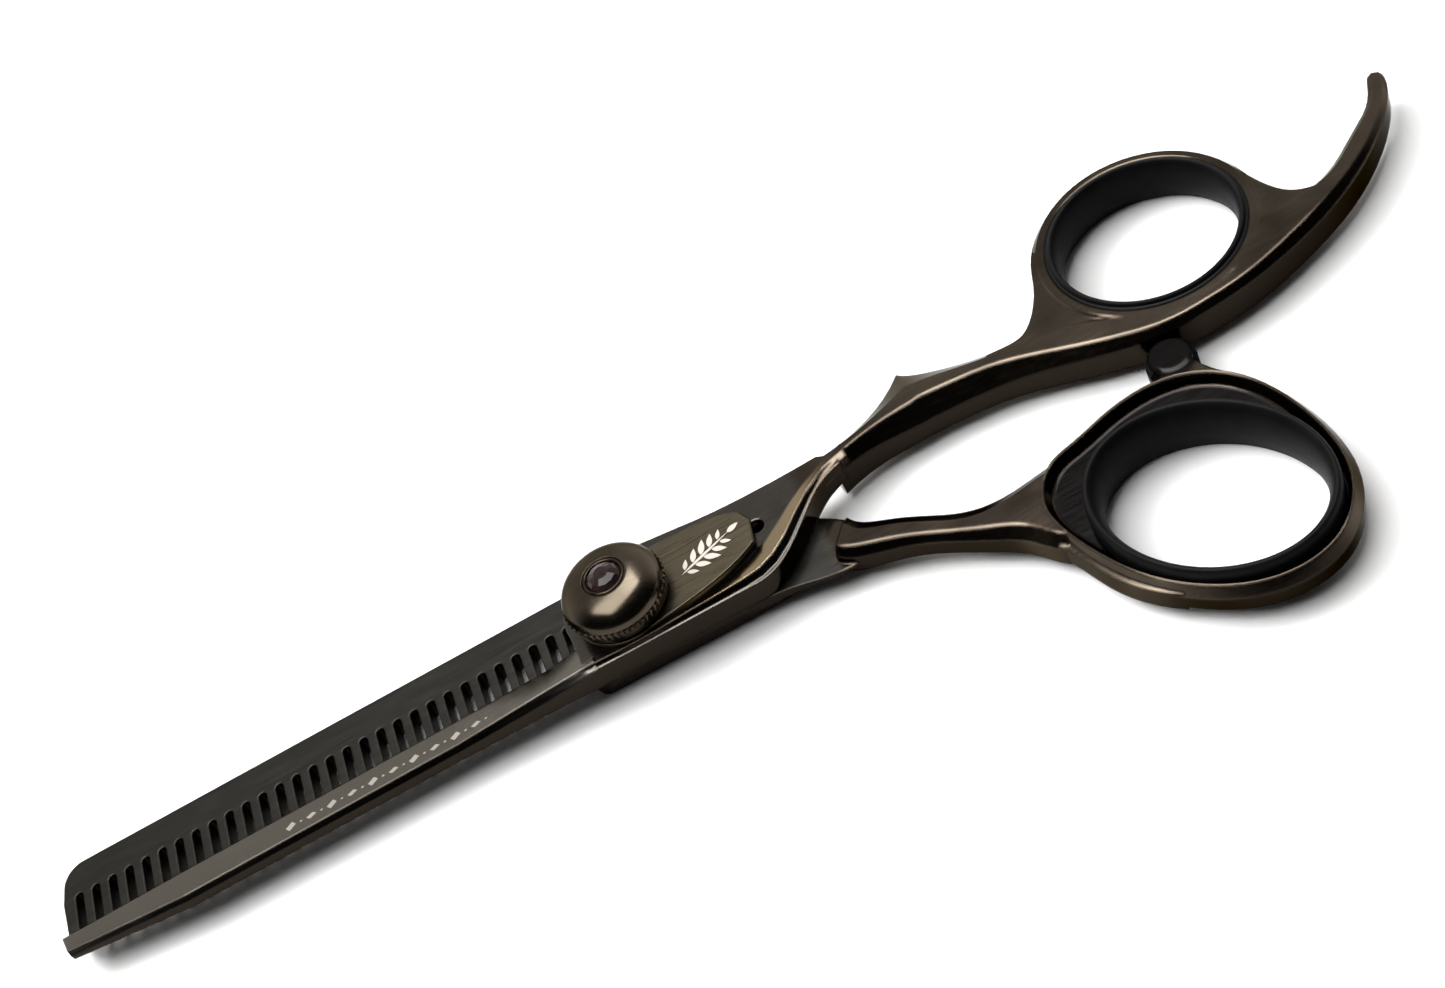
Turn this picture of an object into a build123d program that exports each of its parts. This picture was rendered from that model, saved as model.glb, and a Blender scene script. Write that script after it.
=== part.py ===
from build123d import *
from math import cos, radians, sin
import os

# Hair-thinning shears, closed, lying flat.  All lengths in millimetres.
# Origin: pivot axis, on the plane the shears lie on.  +Z up, towards the knob.
# -X towards the blade tips, +X towards the handles.
# +Y is the finger-ring side, -Y is the thumb-ring side.

# ---------------------------------------------------------------- levels
LINER_TOP = 6.4            # top of the finger liner; liners and screw head touch z = 0
FINGER_METAL = (0.7, 5.7)  # bottom and top of the finger handle metal
THUMB_METAL = (0.9, 5.4)   # bottom and top of the thumb ring metal
CUT_INNER = 3.25           # inner (sliding) face of the cutting half
COMB_INNER = 3.15          # inner (sliding) face of the toothed half
SEAT_FLOOR = 6.0           # floor of the pivot seat, where the leaf plate lies
COMB_BACK = 0.4            # underside of the toothed half at the pivot

# ---------------------------------------------------------------- blades
TIP_X = -70.5              # tip of the cutting blade
EDGE_Y = -0.6              # cutting edge
SPINE_Y = -5.7             # spine of the cutting blade
COMB_TIP_X = -69.9         # tip of the comb blade
COMB_SPINE_Y = 8.0         # spine of the comb blade
TOOTH_TIP_Y = -1.9         # tooth tips, hidden under the cutting blade
SLOT_COUNT = 30
SLOT_PITCH = 2.093
SLOT_WIDTH = 1.05
SLOT_END_Y = 4.0           # rounded root of every slot
FIRST_SLOT_X = -67.9
TIP_GROOVE = 0.34          # depth of the V groove in each tooth tip
STOP_HOLE = (16.1, 0.9)     # small countersunk hole at the end of the leaf plate
STOP_HOLE_R = 0.62
RIDE_RADIUS = 26.3         # the cutting half is half thickness inside this radius

# ---------------------------------------------------------------- finger ring
FINGER_CENTRE = (67.4, 11.7)
FINGER_RING_R = 12.85
FINGER_HOLE_R = 11.02
FINGER_FLANGE_R = 11.65
FINGER_LINER_R = 11.0
FINGER_WAIST_R = 9.6

# ---------------------------------------------------------------- thumb ring
THUMB_CENTRE = (56.9, -23.0)
THUMB_TILT = -50.0         # direction of the long axis of the oval
THUMB_HOLE = (12.32, 9.82)
THUMB_FLANGE = (13.0, 10.4)
THUMB_LINER = (12.3, 9.8)
THUMB_WAIST = (11.2, 8.8)
THUMB_LINER_TOP = 6.8
DISH_DEPTH = 1.3           # from the thumb ring's rim down to its liner

# ---------------------------------------------------------------- bumper
POST_CENTRE = (61.7, -4.7)
POST_R = 1.6
LUG_R = 2.3                # metal head over the bumper
BUMPER_R = 2.75
BUMPER_Z = (1.1, 4.1)

# ---------------------------------------------------------------- pivot stack
HEAD_R = 4.2
HEAD_H = 0.9
NECK_R = 2.8               # keyed neck of the screw, cut by two flats
NECK_FLAT = 2.1            # half distance between the flats
SHAFT_R = 2.3
THREAD_R = 1.8
THREAD_TOP = 10.1
BUSH_R = 3.5
RUNNING = 0.05             # radial running clearance
SNUG = 0.02                # gap between parts fixed to one another
THRUST_R = 5.5
THRUST_Z = (2.87, 3.2)
PLATE_T = 0.8
PLATE_END_R = 5.5
PLATE_HOLE_R = 2.65
WASHER_R = 3.6
WASHER_Z = (6.85, 7.05)

# ---------------------------------------------------------------- knob
KNOB_BASE = 7.1
SKIRT_R = 5.87
SKIRT_BASE_R = 5.5
RIM_R = 5.72
RIM_Z = 9.1
DOME_TOP = 11.5
RIB_COUNT = 52
RIB_DEPTH = 0.26
INSERT_R = 2.9
INSERT_TOP = 10.2
BEZEL_R = 2.4
BEZEL_IN_R = 1.95
BEZEL_Z = (10.6, 11.55)
JEWEL_TOP = 12.15
STONE_SIDES = 12

EPS = 0.001


def prism(face, low, high):
    """Extrude a flat face lying on z = 0 between two levels."""
    return extrude(Pos(0, 0, low) * face, amount=high - low)


def smooth(*points):
    """Smooth open curve through the points, on z = 0."""
    return Spline([Vector(x, y, 0) for x, y in points])


def straight(*points):
    """Chain of straight edges through the points, on z = 0."""
    return Polyline([Vector(x, y, 0) for x, y in points])


def closed_face(*curves):
    """Flat face bounded by a closed chain of curves."""
    edges = []
    for curve in curves:
        edges.extend(curve.edges())
    return make_face(edges)


def cross_section(x, points):
    """Flat face at station x from (y, z) points."""
    corners = [Vector(x, y, z) for y, z in points]
    return make_face(Polyline(corners, close=True).edges())


def bar_section(place, heading, left, right, levels, left_bevel, right_bevel, foot=0.8):
    """Eight-sided section of a handle bar, square to its heading in plan.

    left and right are the half widths seen along the heading, and each bevel is
    (width, drop) from the top face.  foot is the bevel along both lower edges.
    """
    low, high = levels
    side = radians(heading + 90)
    outline = [
        (left, low + foot),
        (left, high - left_bevel[1]),
        (left - left_bevel[0], high),
        (right_bevel[0] - right, high),
        (-right, high - right_bevel[1]),
        (-right, low + foot),
        (foot - right, low),
        (left - foot, low),
    ]
    corners = [Vector(place[0] + s * cos(side), place[1] + s * sin(side), z) for s, z in outline]
    return make_face(Polyline(corners, close=True).edges())


def oval(half_sizes, level=0.0):
    """Ellipse of the thumb ring opening, at the given level."""
    place = Pos(THUMB_CENTRE[0], THUMB_CENTRE[1], level) * Rot(0, 0, THUMB_TILT)
    return place * Ellipse(half_sizes[0], half_sizes[1])


def ring_disc(radius, low, high, centre=(0, 0)):
    """Plain disc between two levels."""
    return Pos(centre[0], centre[1], low) * extrude(Circle(radius), amount=high - low)


# ================================================================ cutting half
def cutting_half():
    """Straight blade, pivot seat, finger shank, finger ring and finger rest in one piece."""
    def blade_section(x, edge, top, ridge, ridge_z, spine, spine_z):
        return cross_section(x, [
            (edge, CUT_INNER),
            (edge, top),
            (ridge, ridge_z),
            (spine, spine_z),
            (spine, CUT_INNER),
        ])

    # Blade: bevel from the edge up to a ridge, then a steep wall on the spine side.
    blade = loft([
        blade_section(TIP_X, EDGE_Y - 0.3, CUT_INNER + 0.12, -3.5, 4.25, -4.1, 3.9),
        blade_section(-55.0, EDGE_Y - 0.1, CUT_INNER + 0.12, -5.1, 4.95, SPINE_Y, 4.4),
        blade_section(-22.0, EDGE_Y, CUT_INNER + 0.12, -5.1, 5.2, SPINE_Y, 4.5),
        blade_section(-11.0, EDGE_Y + 0.1, CUT_INNER + 0.15, -5.0, 5.9, -5.9, 5.1),
        blade_section(-5.0, EDGE_Y + 0.4, CUT_INNER + 0.9, -5.2, 6.5, -6.1, 5.95),
    ], ruled=True)
    # Small slanting flat at the tip.
    tip_flat = closed_face(straight(
        (TIP_X - 2, 1), (TIP_X, -0.8), (TIP_X + 1.2, -4.3), (TIP_X + 1.2, -8), (TIP_X - 2, -8),
        (TIP_X - 2, 1)))
    blade -= prism(tip_flat, 0, 8)

    # Pivot seat, half thickness, with its flat floor.
    seat_plan = closed_face(
        straight((-6.3, -6.0), (-6.6, -0.3)),
        smooth((-6.6, -0.3), (-6.4, 3.0), (-4.6, 5.8), (-1.0, 6.9), (4.2, 6.8), (11.0, 5.9), (18.0, 5.5),
               (25.0, 5.6)),
        straight((25.0, 5.6), (27.0, 4.5), (27.0, 3.1)),
        smooth((27.0, 3.1), (24.3, 1.9), (21.6, -0.6), (18.8, -3.6), (16.3, -5.5), (13.0, -6.15)),
        straight((13.0, -6.15), (0.0, -6.1), (-6.3, -6.0)),
    )
    seat = prism(seat_plan, CUT_INNER, SEAT_FLOOR)

    # Raised crest along the near side of the seat: it carries the blade ridge into the shank.
    def crest_section(x, near, crest, crest_z, foot):
        return cross_section(x, [
            (near, SEAT_FLOOR - 1.0),
            (near, SEAT_FLOOR - 0.2),
            (crest, crest_z),
            (foot, SEAT_FLOOR),
            (foot, SEAT_FLOOR - 1.0),
        ])

    crest = loft([
        crest_section(-7.5, -5.5, -5.3, 6.15, -4.95),
        crest_section(-5.5, -5.9, -5.35, 6.5, -5.0),
        crest_section(-2.0, -5.95, -5.6, 6.6, -5.35),
        crest_section(2.0, -5.98, -5.65, 6.63, -5.4),
        crest_section(5.5, -6.0, -5.5, 6.65, -4.9),
        crest_section(9.0, -6.0, -5.45, 6.68, -4.3),
        crest_section(12.5, -6.0, -5.3, 6.7, -3.3),
        crest_section(14.6, -5.8, -5.0, 6.7, -2.4),
        crest_section(16.5, -5.1, -4.1, 6.7, -1.2),
        crest_section(18.5, -3.6, -2.5, 6.68, 0.3),
        crest_section(20.5, -1.5, -0.4, 6.6, 1.9),
        crest_section(22.5, 0.6, 1.5, 6.5, 3.2),
        crest_section(25.0, 2.5, 3.5, 6.3, 4.5),
        crest_section(28.0, 3.8, 4.7, 6.0, 5.6),
    ], ruled=True)

    # Finger shank in two smooth runs that meet at the pointed corner on its far edge.
    def shank_section(x, near, far, near_bevel, far_bevel, top=FINGER_METAL[1]):
        middle = (near + far) / 2
        half = (far - near) / 2
        return bar_section((x, middle), 0, half, half, (FINGER_METAL[0], top), far_bevel, near_bevel)

    # The finger rest is the same bar, carried on past the ring and swept up to its tip.
    def rest_section(x, y, heading, left, right, high_z, low_z, bevel):
        corner_bevel = (bevel, bevel)
        return bar_section((x, y), heading, left, right, (low_z, high_z), corner_bevel, corner_bevel, bevel)

    corner = shank_section(36.9, 4.3, 12.9, (2.0, 1.8), (4.2, 2.1))
    front_run = loft([
        shank_section(18.5, -3.4, 5.45, (1.4, 0.7), (0.15, 0.1), SEAT_FLOOR),
        shank_section(24.3, 1.9, 5.7, (1.3, 0.9), (0.7, 0.6), 5.95),
        shank_section(29.0, 3.8, 6.8, (1.3, 1.2), (0.9, 0.8), 5.8),
        shank_section(33.2, 4.3, 9.2, (1.7, 1.5), (2.0, 1.4)),
        corner,
    ])
    rear_run = loft([
        corner,
        shank_section(40.0, 4.25, 10.4, (2.0, 1.8), (2.3, 1.6)),
        shank_section(44.3, 3.8, 8.4, (1.9, 1.7), (1.4, 1.1)),
        shank_section(48.6, 2.8, 7.4, (1.7, 1.5), (1.1, 0.9)),
        shank_section(53.0, 1.2, 6.6, (1.4, 1.2), (1.0, 0.9)),
        shank_section(57.5, -0.45, 4.6, (1.15, 1.05), (0.9, 0.9)),
        rest_section(62.3, 0.1, -6, 2.2, 1.85, 5.7, 0.7, 0.9),
        rest_section(68.0, -0.2, 2, 1.8, 1.75, 5.7, 0.7, 0.8),
        rest_section(74.0, 0.9, 12, 1.8, 2.0, 5.7, 0.7, 0.8),
        rest_section(79.0, 3.0, 22, 3.0, 2.6, 5.7, 0.7, 0.9),
        rest_section(84.0, 4.6, 28, 1.9, 2.2, 5.7, 0.8, 0.9),
        rest_section(89.0, 7.0, 34, 1.4, 1.7, 5.6, 1.0, 0.8),
        rest_section(93.7, 10.9, 45, 1.15, 1.45, 5.3, 1.3, 0.65),
        rest_section(97.0, 15.1, 56, 0.95, 1.15, 5.0, 1.6, 0.5),
        rest_section(98.0, 17.2, 61, 0.75, 0.75, 4.6, 2.0, 0.4),
    ])

    # Round finger ring with bevelled outer corners.
    low, high = FINGER_METAL
    ring_profile = make_face(Polyline([
        Vector(FINGER_HOLE_R, 0, low),
        Vector(FINGER_RING_R - 0.9, 0, low),
        Vector(FINGER_RING_R, 0, low + 1.2),
        Vector(FINGER_RING_R, 0, high - 1.2),
        Vector(FINGER_RING_R - 0.9, 0, high),
        Vector(FINGER_HOLE_R, 0, high),
    ], close=True).edges())
    ring = Pos(*FINGER_CENTRE) * revolve(ring_profile, Axis.Z, 360)

    # Webs that fill the two hollows beside the ring.
    front_web = closed_face(
        smooth((46.0, 7.2), (48.4, 6.95), (50.2, 7.15), (51.7, 8.3), (53.2, 10.4), (54.3, 12.7), (55.1, 15.0),
               (56.4, 17.6)),
        straight((56.4, 17.6), (60.0, 8.0), (58.5, 3.0), (50.0, 4.0), (46.0, 7.2)),
    )
    rear_web = closed_face(
        smooth((77.4, 18.6), (78.9, 15.6), (79.8, 12.4), (80.8, 9.3), (82.3, 7.0), (84.6, 5.9), (87.5, 6.2)),
        straight((87.5, 6.2), (84.0, 4.5), (76.0, 2.0), (74.0, 12.0), (77.4, 18.6)),
    )
    webs = prism(front_web, low + 0.5, high - 0.3) + prism(rear_web, low + 0.5, high - 0.3)

    handle = front_run + rear_run + ring + webs
    # Below the sliding face the metal starts only outside the ride of the other half.
    handle -= ring_disc(RIDE_RADIUS, -1, CUT_INNER)
    handle -= ring_disc(FINGER_HOLE_R, -1, 9, FINGER_CENTRE)

    half = blade + seat + crest + handle
    # Bearing hole, and the small countersunk hole at the end of the leaf plate.
    half -= ring_disc(BUSH_R + SNUG / 2, 0, 9)
    half -= ring_disc(STOP_HOLE_R, 0, 9, STOP_HOLE)
    half -= Pos(*STOP_HOLE, SEAT_FLOOR - 0.3) * Cone(STOP_HOLE_R, STOP_HOLE_R + 0.33, 0.62)
    return half


# ================================================================ toothed half
def toothed_half():
    """Comb blade, ride area, thumb shank, dished thumb ring and bumper post in one piece."""
    # Comb blade: flat inner face, back ground thinner towards the teeth and the tip.
    blade_plan = closed_face(
        straight((COMB_TIP_X, 3.4), (COMB_TIP_X + 0.3, 5.6)),
        ThreePointArc(Vector(COMB_TIP_X + 0.3, 5.6, 0), Vector(COMB_TIP_X + 1.2, 7.3, 0),
                      Vector(COMB_TIP_X + 3.1, COMB_SPINE_Y, 0)),
        straight((COMB_TIP_X + 3.1, COMB_SPINE_Y), (-6.0, COMB_SPINE_Y)),
        smooth((-6.0, COMB_SPINE_Y), (0.0, 7.0), (7.0, 5.0), (14.0, 3.6), (19.0, 2.0),
               (22.3, 0.2), (25.5, -2.8)),
        straight((25.5, -2.8), (25.8, -7.6), (23.0, -7.9)),
        smooth((23.0, -7.9), (20.2, -7.5), (16.4, -6.5), (11.0, -6.0), (3.0, -5.9), (-4.0, -5.6),
               (-6.3, -4.6), (-7.0, -2.9)),
        straight((-7.0, -2.9), (-6.6, TOOTH_TIP_Y), (COMB_TIP_X + 0.2, TOOTH_TIP_Y), (COMB_TIP_X, 3.4)),
    )

    def comb_section(x, spine_z, back_z, tip_z):
        return cross_section(x, [
            (COMB_SPINE_Y + 1, COMB_INNER),
            (COMB_SPINE_Y + 1, spine_z - 0.5),
            (COMB_SPINE_Y, spine_z),
            (6.3, back_z),
            (3.6, back_z),
            (TOOTH_TIP_Y - 0.5, tip_z),
            (TOOTH_TIP_Y - 0.5, COMB_INNER),
        ])

    comb = loft([
        comb_section(COMB_TIP_X - 1, 1.4, 0.8, 1.3),
        comb_section(-7.0, 1.2, COMB_BACK + 0.2, 1.2),
    ], ruled=True)
    ride = prism(closed_face(straight(
        (-7.6, 12), (-7.6, -12), (40, -12), (40, 12), (-7.6, 12))), COMB_BACK, COMB_INNER)
    flat_part = prism(blade_plan, 0, COMB_INNER) & (comb + ride)

    # The near wall leans in towards the back, most of all beside the ride.
    def undercut_section(x, back_y, lip_y, lip_z):
        return cross_section(x, [(back_y, 0.2), (lip_y, lip_z), (-12, lip_z), (-12, 0.2)])

    flat_part -= loft([
        undercut_section(-9.0, -4.9, -5.7, 2.9),
        undercut_section(11.0, -5.2, -6.1, 2.9),
        undercut_section(18.0, -4.9, -7.1, 2.7),
        undercut_section(27.0, -5.6, -8.2, 2.6),
    ], ruled=True)

    # Thinning slots with rounded roots, and a V groove in every tooth tip.
    root_r = SLOT_WIDTH / 2
    slot_profile = closed_face(straight(
        (-root_r, TOOTH_TIP_Y - 2), (root_r, TOOTH_TIP_Y - 2), (root_r, SLOT_END_Y - root_r),
        (-root_r, SLOT_END_Y - root_r), (-root_r, TOOTH_TIP_Y - 2)))
    slot_profile += Pos(0, SLOT_END_Y - root_r) * Circle(root_r)
    slot = prism(slot_profile, 0, 4)
    groove = prism(closed_face(straight(
        (-TIP_GROOVE, TOOTH_TIP_Y - EPS), (TIP_GROOVE, TOOTH_TIP_Y - EPS), (0, TOOTH_TIP_Y + TIP_GROOVE),
        (-TIP_GROOVE, TOOTH_TIP_Y - EPS))), 0, 4)
    cutters = []
    for index in range(SLOT_COUNT):
        x = FIRST_SLOT_X + index * SLOT_PITCH
        cutters.append(Pos(x, 0, 0) * slot)
        if index < SLOT_COUNT - 1:
            cutters.append(Pos(x + SLOT_PITCH / 2, 0, 0) * groove)
    flat_part -= cutters

    # Thumb shank: steps up to full thickness behind the ride, then runs into the ring.
    def shank_section(x, y, heading, left, right, levels, far_bevel, near_bevel):
        return bar_section((x, y), heading, left, right, levels, far_bevel, near_bevel)

    shank = loft([
        shank_section(23.1, -4.9, -37, 3.0, 1.8, (0.9, 4.9), (1.2, 0.7), (0.9, 0.9)),
        shank_section(27.4, -7.3, -31, 2.3, 1.7, (1.1, 4.85), (1.4, 0.8), (0.9, 1.0)),
        shank_section(31.8, -9.5, -27, 2.0, 1.5, (1.3, 4.8), (1.4, 0.8), (0.8, 0.9)),
        shank_section(36.2, -12.0, -31, 2.3, 1.8, (1.2, 4.95), (1.5, 0.8), (1.0, 1.0)),
        shank_section(38.6, -13.5, -35, 4.0, 1.9, (1.1, 5.1), (1.6, 0.9), (1.2, 1.1)),
        shank_section(40.8, -15.2, -40, 7.2, 2.0, (1.0, 5.2), (1.7, 0.9), (1.3, 1.1)),
        shank_section(44.0, -18.4, -47, 9.0, 2.4, (0.9, 5.3), (1.6, 0.9), (1.4, 1.1)),
    ])
    # Web that carries the shank's near side on into the ring.
    near_web = closed_face(
        smooth((39.0, -15.2), (41.3, -18.2), (42.7, -21.2), (44.2, -25.2), (46.6, -29.0), (49.3, -31.6)),
        straight((49.3, -31.6), (50.0, -28.0), (46.0, -18.0), (41.0, -14.5), (39.0, -15.2)),
    )
    web = prism(near_web, THUMB_METAL[0] + 1.0, THUMB_METAL[1] - 1.0)

    # Teardrop thumb ring with a barrelled wall, built up from its rim outline at several levels.
    rim_outline = [
        (45.4, -10.3), (43.7, -12.0), (42.7, -14.3), (42.7, -17.2), (43.6, -20.6), (45.2, -24.6),
        (47.7, -28.8), (51.1, -32.3), (55.2, -34.8), (59.8, -35.7), (64.1, -34.6), (67.4, -31.5),
        (69.0, -27.8), (69.4, -24.0), (68.9, -19.3), (67.7, -15.0), (65.8, -11.5), (63.2, -9.0),
        (60.0, -7.6), (56.4, -7.3), (52.4, -8.0), (48.6, -9.2),
    ]

    def teardrop(level, grow):
        centre = Vector(*THUMB_CENTRE, 0)
        points = []
        for x, y in rim_outline:
            out = Vector(x, y, 0) - centre
            points.append(centre + out * (1 + grow / out.length) + Vector(0, 0, level))
        return make_face(Spline(points, periodic=True).edges())

    low, high = THUMB_METAL
    ring = loft([
        teardrop(low, -0.25),
        teardrop(low + 1.2, 0.6),
        teardrop(high - 1.4, 0.75),
        teardrop(high, 0.0),
    ], ruled=True)
    # Sunk top face: a steep bank inside the rim, then a flat floor round the liner.
    dish_floor = high - DISH_DEPTH
    dish = loft([teardrop(dish_floor, -1.0), teardrop(high + EPS, -0.12)], ruled=True)
    # Lug for the bumper: a round head on a thinner post, joined to the ring by a flared neck.
    post_low, post_high = THUMB_METAL[0] + 0.3, THUMB_METAL[1] - 0.4
    post = ring_disc(POST_R, post_low, post_high, POST_CENTRE)
    lug = ring_disc(LUG_R, BUMPER_Z[1] + SNUG, post_high, POST_CENTRE)
    lug = chamfer(lug.edges().sort_by(Axis.Z)[-1], 0.2)
    x, y = POST_CENTRE
    neck_plan = closed_face(
        smooth((x - 4.9, y - 3.5), (x - 2.9, y - 2.6), (x - 1.75, y - 1.6), (x - 1.5, y)),
        straight((x - 1.5, y), (x + 1.5, y)),
        smooth((x + 1.5, y), (x + 1.6, y - 1.5), (x + 2.1, y - 3.2), (x + 3.4, y - 5.4)),
        straight((x + 3.4, y - 5.4), (x + 2.2, y - 5.8), (x - 3.8, y - 4.6), (x - 4.9, y - 3.5)),
    )
    neck = prism(neck_plan, post_low, post_high - 0.1)

    handle = shank + ring + web + neck
    handle -= dish
    handle += post + lug
    handle -= prism(oval(THUMB_HOLE), -1, 9)
    handle -= prism(oval((THUMB_FLANGE[0] + 0.06, THUMB_FLANGE[1] + 0.06)), dish_floor, 9)

    half = flat_part + handle
    # Seat of the screw head, keyed hole, and recess of the thrust washer.
    half -= ring_disc(HEAD_R + 0.05, -1, HEAD_H + SNUG)
    keyed = Circle(NECK_R + SNUG) & Rectangle(4 * NECK_R, 2 * (NECK_FLAT + SNUG))
    half -= prism(keyed, 0, 4)
    half -= ring_disc(THRUST_R + SNUG, THRUST_Z[0] - SNUG, 4)
    return half


# ================================================================ rubber parts
def liner(outer, flange, waist, top, metal, lip, shape):
    """Flanged ring with a rounded rim on both sides and a hollowed inner wall.

    Sizes are half sizes along the two axes of the opening; shape draws the opening
    at a level.  lip is how far the mouth stands back from the waist.
    """
    def step(base, change):
        return (base[0] + change, base[1] + change)

    low, high = metal
    body = loft([shape(outer, low - 0.1), shape(outer, high + 0.1)], ruled=True)
    rim = top - high
    upper = loft([
        shape(flange, high + SNUG),
        shape(flange, high + 0.4 * rim),
        shape(step(flange, -0.25), high + 0.8 * rim),
        shape(step(flange, -0.65), top),
    ], ruled=True)
    lower = loft([
        shape(step(flange, -0.7), 0),
        shape(step(flange, -0.4), 0.5 * low),
        shape(step(flange, -0.4), low - SNUG),
    ], ruled=True)
    middle = top / 2
    half_land = 0.8
    hollow = loft([
        shape(step(waist, lip + 0.2), -0.01),
        shape(step(waist, lip), 0.35),
        shape(step(waist, 0.4 * lip), 0.5 * (middle - half_land) + 0.2),
        shape(waist, middle - half_land),
        shape(waist, middle + half_land),
        shape(step(waist, 0.4 * lip), top - 0.5 * (middle - half_land) - 0.2),
        shape(step(waist, lip), top - 0.35),
        shape(step(waist, lip + 0.2), top + 0.01),
    ], ruled=True)
    return body + upper + lower - hollow


def round_opening(half_sizes, level=0.0):
    """Round opening of the finger ring, at the given level."""
    return Pos(FINGER_CENTRE[0], FINGER_CENTRE[1], level) * Circle(half_sizes[0])


finger_insert = liner((FINGER_LINER_R, FINGER_LINER_R), (FINGER_FLANGE_R, FINGER_FLANGE_R),
                      (FINGER_WAIST_R, FINGER_WAIST_R), LINER_TOP, FINGER_METAL, 0.8, round_opening)
thumb_insert = liner(THUMB_LINER, THUMB_FLANGE, THUMB_WAIST, THUMB_LINER_TOP,
                     (THUMB_METAL[0], THUMB_METAL[1] - DISH_DEPTH), 0.6, oval)

# Collar round the bumper post, under the lug head and open towards the ring.
bumper = ring_disc(BUMPER_R, *BUMPER_Z, POST_CENTRE)
bumper = chamfer(bumper.edges(), 0.45)
bumper -= ring_disc(POST_R + SNUG, 0, 9, POST_CENTRE)
bumper -= Pos(POST_CENTRE[0], POST_CENTRE[1] - 2.6, 3) * Box(8.5, 4.2, 9)
bumper -= Pos(POST_CENTRE[0], POST_CENTRE[1] - 1.0, 3) * Box(2 * (1.7 + SNUG), 2.1, 9)

# ================================================================ pivot stack
keyed_neck = Circle(NECK_R) & Rectangle(4 * NECK_R, 2 * NECK_FLAT)
head = ring_disc(HEAD_R, 0, HEAD_H)
head = chamfer(head.edges().sort_by(Axis.Z)[0], 0.2)
neck = prism(keyed_neck, HEAD_H - EPS, THRUST_Z[0])
shaft = ring_disc(SHAFT_R, THRUST_Z[0] - EPS, WASHER_Z[1])
thread = ring_disc(THREAD_R, WASHER_Z[1] - EPS, THREAD_TOP)
pivot_screw = head + neck + shaft + chamfer(thread.edges().sort_by(Axis.Z)[-1], 0.3)

pivot_bush = ring_disc(BUSH_R, CUT_INNER, SEAT_FLOOR) - ring_disc(SHAFT_R + RUNNING, 0, 9)
thrust_washer = ring_disc(THRUST_R, *THRUST_Z) - ring_disc(SHAFT_R + SNUG, 0, 9)
plate_washer = ring_disc(WASHER_R, *WASHER_Z) - ring_disc(SHAFT_R + SNUG, 0, 9)

# Leaf plate: round end about the pivot, sides that swell and then close to a blunt tip.
plate_plan = closed_face(
    ThreePointArc(Vector(2.4, PLATE_END_R - 0.55, 0), Vector(-PLATE_END_R, 0.0, 0), Vector(1.6, -5.26, 0)),
    smooth((1.6, -5.26), (5.0, -4.75), (9.0, -4.0), (12.6, -2.9), (15.3, -1.5)),
    straight((15.3, -1.5), (15.9, 1.7), (15.1, 3.4)),
    smooth((15.1, 3.4), (12.5, 4.5), (9.0, 4.95), (5.6, 5.1), (2.4, PLATE_END_R - 0.55)),
)
tension_plate = prism(plate_plan, SEAT_FLOOR, SEAT_FLOOR + PLATE_T)
plate_rim = tension_plate.faces().sort_by(Axis.Z)[-1].edges()
tension_plate = chamfer(plate_rim, 0.15)
tension_plate -= ring_disc(PLATE_HOLE_R, 0, 9)

# ================================================================ knob
knob_profile = make_face(
    Polyline([
        Vector(0, 0, KNOB_BASE), Vector(SKIRT_BASE_R - 0.2, 0, KNOB_BASE),
        Vector(SKIRT_BASE_R, 0, KNOB_BASE + 0.2),
        Vector(SKIRT_R, 0, RIM_Z - 0.2), Vector(RIM_R, 0, RIM_Z)]).edges()
    + Spline([Vector(RIM_R, 0, RIM_Z), Vector(5.5, 0, 9.8), Vector(4.8, 0, 10.62), Vector(3.8, 0, 11.2),
              Vector(BEZEL_R + 0.25, 0, DOME_TOP)]).edges()
    + Polyline([
        Vector(BEZEL_R + 0.25, 0, DOME_TOP), Vector(0, 0, DOME_TOP), Vector(0, 0, KNOB_BASE)]).edges())
tension_knob = revolve(knob_profile, Axis.Z, 360)
rib_cut = Pos(SKIRT_R + 0.12, 0, 0) * Rot(0, 0, 45) * Box(
    2 * RIB_DEPTH, 2 * RIB_DEPTH, 2 * (RIM_Z - KNOB_BASE))
rib_cut = Pos(0, 0, KNOB_BASE) * rib_cut
tension_knob -= [Rot(0, 0, index * 360 / RIB_COUNT) * rib_cut for index in range(RIB_COUNT)]
tension_knob -= ring_disc(INSERT_R + SNUG, 0, INSERT_TOP)
tension_knob -= ring_disc(BEZEL_R + SNUG, BEZEL_Z[0] - SNUG, 20)

knob_insert = ring_disc(INSERT_R, KNOB_BASE + 0.05, INSERT_TOP - SNUG) - ring_disc(THREAD_R + RUNNING, 0, 20)

bezel_profile = make_face(Polyline([
    Vector(BEZEL_IN_R, 0, BEZEL_Z[0]), Vector(BEZEL_R, 0, BEZEL_Z[0]), Vector(BEZEL_R, 0, BEZEL_Z[1] - 0.15),
    Vector(BEZEL_R - 0.15, 0, BEZEL_Z[1]), Vector(BEZEL_IN_R + 0.1, 0, BEZEL_Z[1]),
    Vector(BEZEL_IN_R, 0, BEZEL_Z[1] - 0.1)], close=True).edges())
jewel_bezel = revolve(bezel_profile, Axis.Z, 360)

# Faceted stone: straight girdle, two rings of crown facets and a small flat table.
def facet_ring(radius, level):
    corners = []
    for index in range(STONE_SIDES):
        angle = radians(index * 360 / STONE_SIDES)
        corners.append(Vector(radius * cos(angle), radius * sin(angle), level))
    return make_face(Polyline(corners, close=True).edges())


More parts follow.
